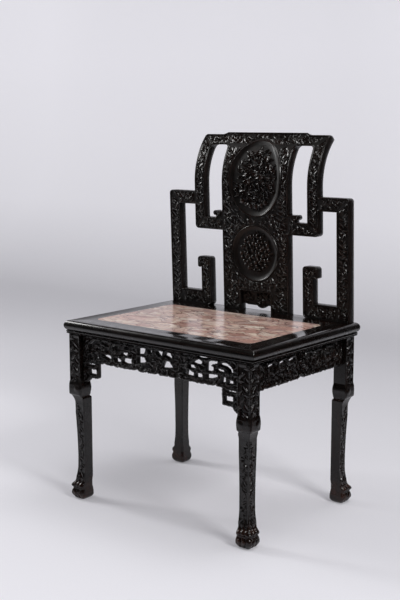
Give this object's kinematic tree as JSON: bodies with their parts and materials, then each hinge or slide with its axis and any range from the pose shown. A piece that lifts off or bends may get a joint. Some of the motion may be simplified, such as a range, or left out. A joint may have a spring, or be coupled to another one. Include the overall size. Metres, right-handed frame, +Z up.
{
  "type": "side chair",
  "caption": "Rosewood side chair with a flush marble seat, sawn scroll legs, pierced aprons and a stepped fret back round a wide splat.",
  "frame": {"origin": "on the floor, under the middle of the chair's overall box", "axes": "+Z up, +Y to the back of the chair, +X to the right as seen from the front"},
  "size_m": [0.618, 0.4864, 0.962],
  "materials": {
    "rosewood": "dark, waxed semi-gloss",
    "marble": "honed pink breccia"
  },
  "bodies": {
    "root": {"seat_front_rail": "rosewood", "seat_rear_rail": "rosewood", "seat_left_rail": "rosewood", "seat_right_rail": "rosewood", "marble_panel": "marble", "left_batten": "rosewood", "right_batten": "rosewood", "front_left_leg": "rosewood", "front_right_leg": "rosewood", "rear_left_leg": "rosewood", "rear_right_leg": "rosewood", "front_apron": "rosewood", "rear_apron": "rosewood", "left_apron": "rosewood", "right_apron": "rosewood", "front_left_bracket": "rosewood", "front_right_bracket": "rosewood", "crest_rail": "rosewood", "splat": "rosewood", "splat_apron": "rosewood", "left_stile": "rosewood", "right_stile": "rosewood", "left_hook_rail": "rosewood", "right_hook_rail": "rosewood", "left_shoulder_arm": "rosewood", "right_shoulder_arm": "rosewood", "left_outer_post": "rosewood", "right_outer_post": "rosewood", "left_foot_rail": "rosewood", "right_foot_rail": "rosewood", "left_inner_upright": "rosewood", "right_inner_upright": "rosewood"}
  },
  "joints": []
}
